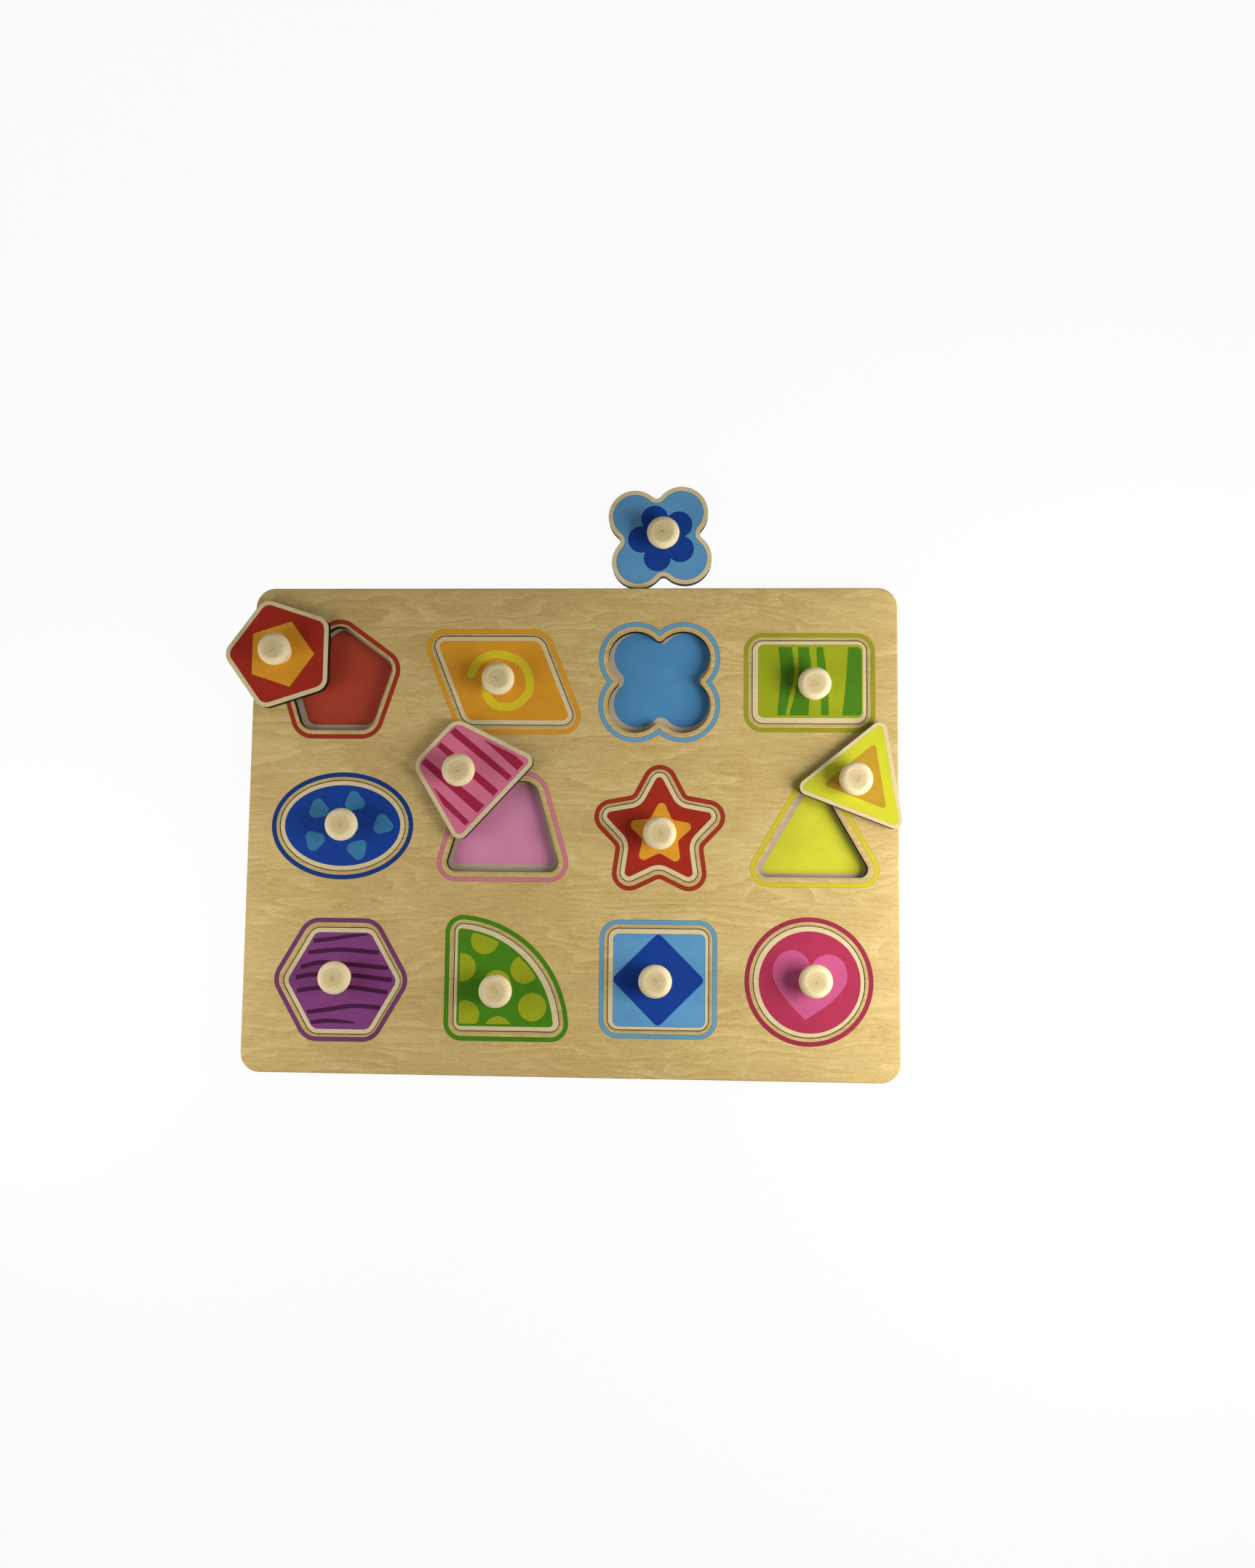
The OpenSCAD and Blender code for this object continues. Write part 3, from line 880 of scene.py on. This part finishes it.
def board_loop(inset):
    """The board's whole outline, from the outer sides of its cells, anticlockwise from the lower left."""
    columns, rows = range(len(CELL_X) + 1), range(len(CELL_Y) + 1)
    low = [cell_border(c, rows[-1], inset)[0] for c in columns]
    right = [cell_border(columns[-1], r, inset)[1] for r in reversed(rows)]
    top = [cell_border(c, 0, inset)[2] for c in reversed(columns)]
    left = [cell_border(0, r, inset)[3] for r in rows]
    return np.concatenate(low + right + top + left)


def recess_collar(shape, column, row):
    """The board round one recess: from the cell's border over the top, round the recess's edge, down its
    charred wall and out under the board. All rings lie on the same rays from the recess's middle."""
    make = SHAPES[shape][0]
    middle = RECESS[shape]
    top = cell_border(column, row, BOARD_EDGE_R).reshape(-1, 2)
    low = cell_border(column, row, 0).reshape(-1, 2)
    away = top - middle
    angles = np.arctan2(away[:, 1], away[:, 0])
    ray = np.stack([np.cos(angles), np.sin(angles)], -1)

    def ring(grow, z):
        """The shape's outline grown by a length, at a height, with its points on the rays."""
        return at_height(middle + reach(make(grow), np.zeros(2), angles)[:, None] * ray, z)

    lip = RECESS_GROW + RECESS_EDGE_R + EDGE_STRIP
    # From the second ring inwards the board's wood turns darker and greyer towards the recess
    rings = [at_height(top, BOARD_TOP), ring(NEAR_CUT_OUT, BOARD_TOP), ring(lip, BOARD_TOP)]
    for rise, out in quarter_round()[::-1]:
        grow = RECESS_GROW + RECESS_EDGE_R * (1 - out)
        rings.append(ring(grow, BOARD_TOP - RECESS_EDGE_R * (1 - rise)))
    rings.append(ring(RECESS_GROW, BACKING_TOP))
    rings.append(at_height(low, BACKING_TOP))
    char = [0, 0, STRIP_CHAR, *EDGE_CHAR[::-1], 1, 0]
    faces = ring_faces(len(rings), len(top)).tolist()
    return np.concatenate(rings), faces, np.repeat(char, len(top))


def board_rim():
    """The board's outer side, from its underside to the rounded top edge."""
    rings = [at_height(board_loop(0), BACKING_TOP)]
    for rise, out in quarter_round():
        loop = board_loop(BOARD_EDGE_R * (1 - out))
        rings.append(at_height(loop, BOARD_TOP - BOARD_EDGE_R * (1 - rise)))
    faces = ring_faces(len(rings), len(rings[0])).tolist()
    return np.concatenate(rings), faces, np.zeros(len(rings) * len(rings[0]))


def make_board():
    """The veneered upper layer, all cells and the rim in one closed mesh, and the backing below it."""
    columns = len(CELL_X) + 1
    cells = [recess_collar(shape, i % columns, i // columns) for i, shape in enumerate(SHAPES)]
    rim = board_rim()
    whole = joined(cells + [rim])
    ring = len(board_loop(0))
    flat = len(whole[0]) - len(rim[0])
    side = np.concatenate([np.zeros(flat), np.ones(ring * 2), np.repeat(RIM_PLY, ring)])
    edge = {"edge": side}
    piece("board_upper_layer", whole, BOARD_WOOD, "board", "frame_panel", edge)

    rings = [at_height(board_loop(BOARD_EDGE_R + BACKING_LOW_STRIP), 0)]
    for rise, out in quarter_round()[::-1]:
        rings.append(at_height(board_loop(BOARD_EDGE_R * (1 - out)), BOARD_EDGE_R * (1 - rise)))
    rings.append(at_height(board_loop(0), BACKING_TOP))
    rings.append(at_height(board_loop(BACKING_TOP_STRIP), BACKING_TOP))
    marks = [0, *np.linspace(0, 1, EDGE_STEPS), 1, 0]
    edge = {"edge": np.concatenate([np.repeat(marks, ring), [0, 0]])}
    piece("board_lower_layer", skin(rings), BACKING_WOOD, "board", "backing_panel", edge)


def make_board_prints(shape):
    """The ring round a recess and the print on its floor, each on its own layer of the board."""
    make = SHAPES[shape][0]
    ring_ink, floor_ink = SHAPE_INKS[shape][:2]
    at = RECESS[shape] + RING_SLIP.get(shape, (0, 0))
    spread = RING_SPREAD.get(shape, 0)
    low, high = BOARD_TOP - INK_ROOT, BOARD_TOP + INK
    rows = [
        (RING_OUT, low, 1),
        (RING_OUT, high, 1),
        (RING_OUT - RIM_LINE / 2, high, 1),
        (RING_OUT - RIM_LINE, high, 0),
        (RING_IN + RIM_LINE, high, 0),
        (RING_IN + RIM_LINE / 2, high, 1),
        (RING_IN, high, 1),
        (RING_IN, low, 1),
    ]
    rings = [at_height(make(grow + spread) + at, z) for grow, z, _ in rows]
    count = len(rings[0])
    faces = ring_faces(len(rows) + 1, count) % (len(rows) * count)
    part = np.concatenate(rings), faces.tolist(), np.repeat([mark for *_, mark in rows], count)
    piece(shape + "_ring_print", part, INKS[ring_ink], "board")
    inset, slip = FLOOR_FIT.get(shape, (FLOOR_INSET, FLOOR_SLIP))
    floor = make(TILE_GAP - inset) + RECESS[shape] + slip
    piece(shape + "_floor_print", film(floor, BACKING_TOP), INKS[floor_ink], "board")


def make_tile(shape):
    """A tile's wood: charred side, softly rounded edges and a flat face."""
    make = SHAPES[shape][0]
    low, top = TILE_LOW[shape] + TILE_LIFT, TILE_TOP[shape]

    def ring(inset, z):
        """The tile's outline drawn in by inset, at a height."""
        return at_height(on_tile(shape, make(TILE_GROW - inset)), z)

    edge = [(TILE_EDGE_R * (1 - out), TILE_EDGE_R * (1 - rise)) for rise, out in quarter_round()]
    face = TILE_EDGE_R + EDGE_STRIP
    rings = [ring(face, low)]
    rings += [ring(inset, low + drop) for inset, drop in edge[::-1]]
    rings += [ring(inset, top - drop) for inset, drop in edge]
    rings.append(ring(face, top))
    part = skin(rings, [0, *EDGE_CHAR[::-1], *EDGE_CHAR, 0])
    plies = {"edge": np.zeros(len(part[0]))}
    piece(shape + "_wood", part, TILE_WOOD, shape + "_piece", shape + "_tile", plies)


def make_peg(shape):
    """A turned peg: short neck, sine-squared flare, widest under the crown, rounded crown, and a flat top
    with a small centre dimple."""
    low, high = node_box(shape + "_peg")
    foot_z, top_z = TILE_TOP[shape], high[2]
    wide_z = top_z - PEG_CROWN_H
    t = np.linspace(0, 1, PEG_SIDE_STEPS)
    flare = np.clip((t - PEG_NECK) / (1 - PEG_NECK), 0, 1)
    flare = np.sin(np.pi / 2 * flare) ** 2
    crown = np.radians(np.linspace(0, PEG_CROWN_TURN, PEG_CROWN_STEPS))[1:]
    swell = (1 - np.cos(crown)) / (1 - math.cos(crown[-1]))
    rise = np.sin(crown) / math.sin(crown[-1])
    flat = np.array(PEG_TOP)
    side_r = PEG_FOOT_R + (PEG_HEAD_R - PEG_FOOT_R) * flare
    crown_r = PEG_HEAD_R - (PEG_HEAD_R - PEG_FLAT_R) * swell
    radius = np.concatenate([side_r, crown_r, flat[:, 0]])
    side_z = foot_z + (wide_z - foot_z) * t
    z = np.concatenate([side_z, wide_z + PEG_CROWN_H * rise, top_z + flat[:, 1]])
    a = np.linspace(0, FULL_TURN, PEG_ROUND_STEPS, endpoint=False)
    middle = (low + high)[:2] / 2
    x = middle[0] + radius[:, None] * np.cos(a)
    y = middle[1] + radius[:, None] * np.sin(a)
    part = skin(np.stack([x, y, np.broadcast_to(z[:, None], x.shape)], -1))
    mark = np.concatenate([np.repeat(radius, len(a)), [0, 0]])
    mark[: len(t) * len(a)] = PEG_HEAD_R
    marks = {"radius": mark}
    piece(shape + "_knob", part, PEG_WOOD, shape + "_piece", shape + "_peg", marks)


def field_outline(shape, inset=FIELD_INSET):
    """Edge of a tile's printed field, slipped off register as printed."""
    return SHAPES[shape][0](-inset) + FIELD_SLIP.get(shape, (0, 0))


def polygon_motif(corners, radii, at, turn=0.0):
    """One polygon with round corners, turned and moved to its place on the tile."""
    return [turned(outline(rounded(corners, radii)), turn) + at]


def pentagon_motif():
    """A pentagon, one corner down."""
    radius, corner_r, at = 21.6, 0.3, (-0.2, 0.4)
    return polygon_motif(regular(5, radius, -90), corner_r, at)


def star_motif():
    """A star, one tip up."""
    tip_r, inner_r, corner_r = 22.9, 11.3, (2.85, 3.2)
    at, turn = (0.9, -1.6), -2
    return polygon_motif(star_corners(tip_r, inner_r), corner_r * 5, at, turn)


def triangle_motif():
    """A triangle, one corner up."""
    radius, corner_r, at = 23.5, 1.7, (0.6, 0.3)
    return polygon_motif(regular(3, radius, 90), corner_r, at)


def square_motif():
    """A square that stands on a corner."""
    radius, corner_r, at = 28.4, 3.0, (0.1, -0.4)
    return polygon_motif(regular(4, radius, 0), corner_r, at)


def flower_motif():
    """Five overlapping circles about a middle: at each angle the farthest reach of any of them."""
    petals, ring_r, petal_r, first = 5, 13.2, 8.4, 35.3
    least_r, at = 1.0, (1.56, -0.58)
    angles = np.linspace(-np.pi, np.pi, 3 * ROUND_STEPS, endpoint=False)
    lean = angles[:, None] - np.radians(first + 360 / petals * np.arange(petals))
    across = ring_r * np.sin(lean)
    depth = np.sqrt(np.clip(petal_r**2 - across**2, 0, None))
    reaches = np.where(np.abs(across) < petal_r, ring_r * np.cos(lean) + depth, 0).max(1)
    return [polar(1, np.degrees(angles)) * np.maximum(reaches, least_r)[:, None] + at]


def heart_motif():
    """Half a heart on a smooth path from its notch to its tip, and its mirror image."""
    half = smooth_path(
        [
            (0, 9.8),
            (4.2, 15.2),
            (11.2, 17.6),
            (18.6, 14.6),
            (22.3, 6.4),
            (20.6, -2),
            (12.6, -12.2),
            (0, -22.8),
        ]
    )
    turn, at = -6, (0.2, 0.0)
    whole = np.concatenate([half[::-1], (half * (-1, 1))[1:-1]])
    return [turned(whole, turn) + at]


def petal_motif():
    """Three-sided petals with round corners, each at a place and a turn."""
    radius, corner_r = 10.2, 3.6
    petal = outline(rounded(regular(3, radius, 0), corner_r))
    spots = [
        (-15.2, 10, 100),
        (7.1, 14.9, 100),
        (25.2, 0.8, 102),
        (9.8, -14.7, 48),
        (-17.2, -9.4, 16),
        (3.8, -2, 30),
    ]
    return [turned(petal, turn) + (x, y) for x, y, turn in spots]


def dot_motif():
    """Dots cut off a little inside the edge of the field, each seen from its middle, pulled in between low
    and high to lie in the field."""
    dot_r, cut_in = 8.5, 1.4
    low, high = -26, 24
    edge = field_outline("quarter", FIELD_INSET + cut_in)
    dot = oval(dot_r, dot_r, 0)
    spots = np.array(
        [(-14, 22.2), (-27.7, 5.7), (10.6, 4.8), (15.7, -17.7), (-25, -22.7), (-4.9, -32), (-6, -4.3)]
    )
    inner = np.clip(spots, low, high)
    return [common(dot + spot, edge, middle) for spot, middle in zip(spots, inner)]


def curl_strips(z):
    """A curl like a snail's: one band that winds in to the peg."""
    path = [
        (-20.8, 1.7),
        (-17.6, 9.7),
        (-12.6, 14.2),
        (-3.1, 16.5),
        (10.4, 11.7),
        (16.1, 1.2),
        (15.4, -7.8),
        (9.4, -14.3),
        (2.4, -16.6),
        (-5.6, -14.8),
        (-10.4, -8.8),
        (-10.9, -1.8),
    ]
    width = 5.2
    return [band(path, width, z)]


def reed_strips(z):
    """Upright leaning stripes, each between two wavy edges given at four heights. The last one ends in the
    field's round corners."""
    heights = np.array([-20.6, -7.0, 6.7, 21.7])
    field_side, corner = 31.9, 2.5
    edges = [
        ((-19.6, -18.3, -17.5, -18.8), (-14.4, -11.7, -9.1, -10.6)),
        ((-12.3, -8.7, -6.6, -6.8), (-0.6, 0.4, 1.5, -0.2)),
        ((7.1, 6.8, 5.0, 4.4), (11.9, 11.6, 10.5, 8.4)),
        ((19.9, 21.6, 22.8, 23.7), (field_side,) * 4),
    ]
    paths = np.array([[smooth_path(np.stack([x, heights], -1)) for x in pair] for pair in edges])
    rise = paths[-1, 1, :, 1]
    past = np.clip(corner - np.minimum(rise - heights[0], heights[-1] - rise), 0, corner)
    paths[-1, 1, :, 0] -= corner - np.sqrt(corner**2 - past**2)
    return [ribbon(left, right, z) for left, right in paths]


def wave_strips(z):
    """Level wavy stripes across the hexagon, some narrowing to a share of their width."""
    width = 2.7
    waves = [
        ([(-18.2, 24), (-6.7, 25.4), (3.3, 27), (15.3, 28.2)], 0.25),
        ([(-21.3, 16.9), (-1.7, 18.8), (22.3, 17.3)], 1.0),
        ([(-25.7, 8), (-13.7, 10.8), (3.3, 10), (28.3, 8)], 1.0),
        ([(-28.7, 1.6), (-16.7, 3.5), (6.3, 3.3), (30.8, 0.7)], 1.0),
        ([(-27.7, -6.4), (-16.7, -4.8), (5.3, -4), (28.3, -6.8)], 1.0),
        ([(-21.2, -19.3), (-6.7, -17.3), (3.3, -15.5), (11.3, -15.2), (24, -16)], 1.0),
        ([(-18.7, -25.6), (-8, -24.3), (8.3, -25.2)], 0.4),
    ]
    return [band(path, width, z, False, end) for path, end in waves]


def slant_strips(z):
    """Straight stripes up the trapezoid, each edge given at its low and high end. The outer two are cut off
    along the sloping sides."""
    low, high, steps = -23.0, 23.5, 24
    bare, least = 4.6, 0.05
    rise = np.linspace(low, high, steps)
    slope = (TRAPEZOID_TOP - TRAPEZOID_LOW) / 2 / TRAPEZOID_H
    side = TRAPEZOID_LOW / 2 + slope * (rise + TRAPEZOID_H / 2) - bare
    stripes = [
        ((-24.4, -24.4), (-21.0, -20.5)),
        ((-13.8, -15.3), (-7.3, -11.2)),
        ((0.5, -1.3), (5.2, 2.4)),
        ((13.3, 10.3), (17.1, 14.8)),
        ((21.8, 21.2), (27.7, 27.7)),
    ]
    parts = []
    for edges in stripes:
        left, right = (np.clip(np.interp(rise, (low, high), ends), -side, side) for ends in edges)
        keep = right - left > least
        kept = [np.stack([across[keep], rise[keep]], -1) for across in (left, right)]
        parts.append(ribbon(*kept, z))
    return parts


MOTIF_OUTLINES = {
    "pentagon": pentagon_motif,
    "flower": flower_motif,
    "ellipse": petal_motif,
    "star": star_motif,
    "triangle": triangle_motif,
    "quarter": dot_motif,
    "square": square_motif,
    "circle": heart_motif,
}
MOTIF_STRIPS = {
    "parallelogram": curl_strips,
    "rectangle": reed_strips,
    "trapezoid": slant_strips,
    "hexagon": wave_strips,
}


def make_tile_prints(shape):
    """The printed field of a tile and, a coat above it, the motif."""
    top = TILE_TOP[shape]
    field_ink, motif_ink = SHAPE_INKS[shape][2:]
    body, slot = shape + "_piece", shape + "_print"
    inset = FIELD_FIT.get(shape, FIELD_INSET)
    field = field_film(lambda more: on_tile(shape, field_outline(shape, inset + more)), top)
    piece(shape + "_field_print", field, INKS[field_ink], body)
    if shape in MOTIF_OUTLINES:
        outlines = [on_tile(shape, points) for points in MOTIF_OUTLINES[shape]()]
        motif = joined([film(points, top, MOTIF_COATS) for points in outlines])
    else:
        verts, faces, marks = joined(MOTIF_STRIPS[shape](top))
        motif = np.column_stack([on_tile(shape, verts[:, :2]), verts[:, 2]]), faces, marks
    piece(shape + "_motif_print", motif, INKS[motif_ink], body)


make_board()
for shape in SHAPES:
    make_board_prints(shape)
    make_tile(shape)
    make_tile_prints(shape)
    make_peg(shape)

# Camera, as the photograph was taken: focal length in pixels of its long side, place over the board's top
PHOTO_LONG_SIDE = 2156
FOCAL_PX = 1650
SENSOR = 36.0
CAMERA_AT = (71.16, -31.81, 732.16 + BOARD_TOP)
CAMERA_AHEAD = (-0.04875, 0.08113, -0.99551)
CAMERA_UP = (-0.00673, 0.99665, 0.08156)

# Lamps that look at the board's middle: place, side length and watts
LAMPS = {
    "right_window": ((460, -80, 270), 300, 3.1),
    "left_window": ((-380, -100, 180), 250, 0.75),
}

# Table and room: how far the table is white to the rays that see it, its own tone, and the room's light
WHITE = (1.0, 1.0, 1.0)
FLOOR_GLOW = 0.94
FLOOR_TONE = (0.88, 0.88, 0.88)
FLOOR_ROUGHNESS = 0.9
FLOOR_SIDE = 12000.0
FLOOR_Z = -0.2
ROOM_LIGHT = 0.2


def stand(name, data, at, right, back):
    """Puts up a camera or lamp that looks away from back, with its own X axis along right."""
    right, back = (np.array(v) / np.linalg.norm(v) for v in (right, back))
    turn = np.eye(4)
    turn[:3, :3] = np.stack([right, np.cross(back, right), back], 1)
    turn[:3, 3] = np.array(at) * MM
    made = bpy.data.objects.new(name, data)
    made.matrix_world = Matrix(turn.tolist())
    bpy.context.scene.collection.objects.link(made)
    return made


def make_camera():
    """The photograph's camera."""
    lens = bpy.data.cameras.new("camera")
    lens.sensor_width = SENSOR
    lens.lens = FOCAL_PX / PHOTO_LONG_SIDE * SENSOR
    right = np.cross(CAMERA_AHEAD, CAMERA_UP)
    bpy.context.scene.camera = stand("camera", lens, CAMERA_AT, right, -np.array(CAMERA_AHEAD))


def make_lamp(name, at, size, watts):
    """A square soft white lamp."""
    data = bpy.data.lights.new(name, "AREA")
    data.size = size * MM
    data.energy = watts
    stand(name, data, at, np.cross((0, 0, 1), at), at)


def make_floor():
    """A plain pale table top that shows white to the camera and keeps a faint shadow."""
    f = Finish("pale_floor")
    f.set(base_color=FLOOR_TONE, roughness=FLOOR_ROUGHNESS)
    glow = f.node("ShaderNodeEmission", None, {"Color": WHITE, "Strength": 1.0})
    f.show(FLOOR_GLOW, Value(f, f.shader.outputs[0]), glow)
    mesh = bpy.data.meshes.new("table")
    corners = at_height(box(FLOOR_SIDE, FLOOR_SIDE), FLOOR_Z) * MM
    mesh.from_pydata(corners.tolist(), [], [(0, 1, 2, 3)])
    mesh.materials.append(f.material)
    table = bpy.data.objects.new("table", mesh)
    bpy.context.scene.collection.objects.link(table)


def make_world():
    """Soft even light from all round, and white where the camera or a reflection sees past the table."""
    world = bpy.data.worlds.new("soft_room")
    bpy.context.scene.world = world
    room = Nodes(world, "World Output")
    room.tree.nodes.remove(room.tree.nodes["Background"])
    lit = room.node("ShaderNodeBackground", None, {"Color": WHITE, "Strength": ROOM_LIGHT})
    white = room.node("ShaderNodeBackground", None, {"Color": WHITE, "Strength": 1.0})
    room.show(1.0, lit, white)


make_camera()
make_floor()
make_world()
for name, (at, size, watts) in LAMPS.items():
    make_lamp(name, at, size, watts)
bpy.context.scene.view_settings.view_transform = "Standard"
